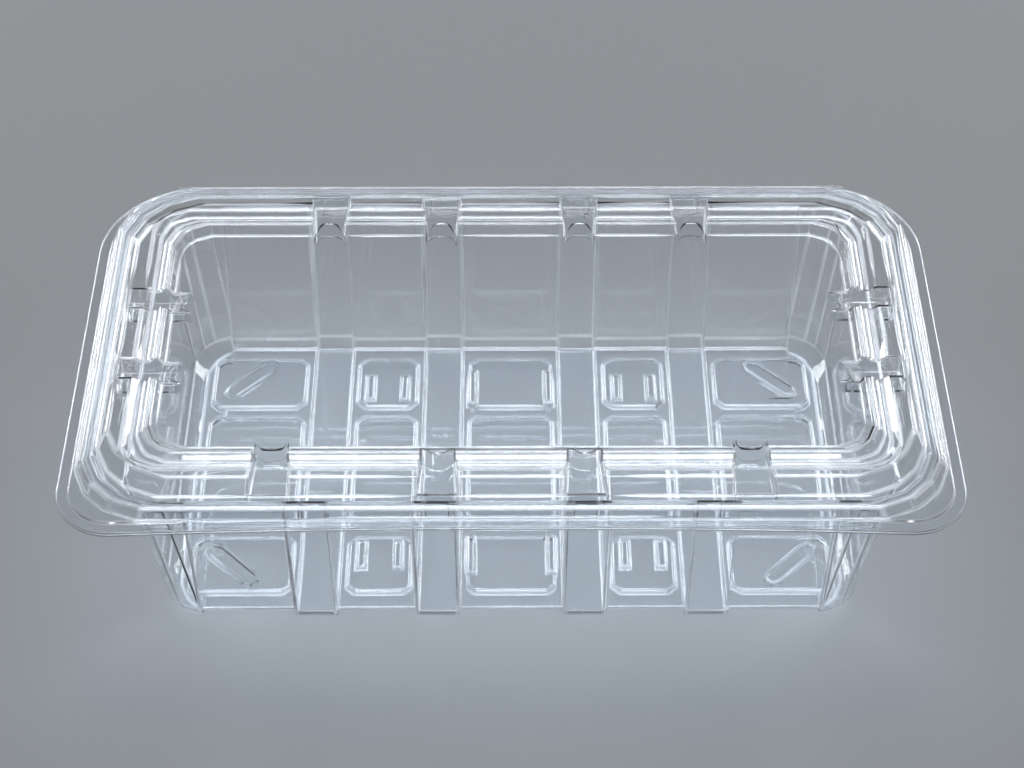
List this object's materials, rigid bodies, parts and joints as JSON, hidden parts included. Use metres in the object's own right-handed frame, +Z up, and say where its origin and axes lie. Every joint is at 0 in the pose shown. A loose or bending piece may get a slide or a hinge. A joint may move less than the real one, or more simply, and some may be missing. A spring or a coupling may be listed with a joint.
{
  "type": "plastic clamshell pack",
  "caption": "Clear thermoformed clamshell: a deep ribbed rectangular tray and a stepped, vented lid joined along the back by a fold, shown closed.",
  "frame": {"origin": "on the table, under the middle of the closed pack's outline", "axes": "+Z up; X along the long side, +X to the right seen from the front; -Y is the front edge and +Y the back edge with the fold"},
  "size_m": [0.25, 0.145, 0.0616],
  "materials": {
    "clear_sheet": "clear, glossy thermoformed sheet, slightly cool, with bright edges at every bend"
  },
  "bodies": {
    "tray": {"tray": "clear_sheet", "hinge_web": "clear_sheet"},
    "lid": {"lid": "clear_sheet"}
  },
  "joints": [
    {"name": "lid_fold", "type": "hinge", "parent": "tray", "child": "lid", "pos_m": [0, 0.07175, 0.05475], "axis": [-1, 0, 0], "range_deg": [0, 180], "deforming": ["hinge_web"]}
  ]
}
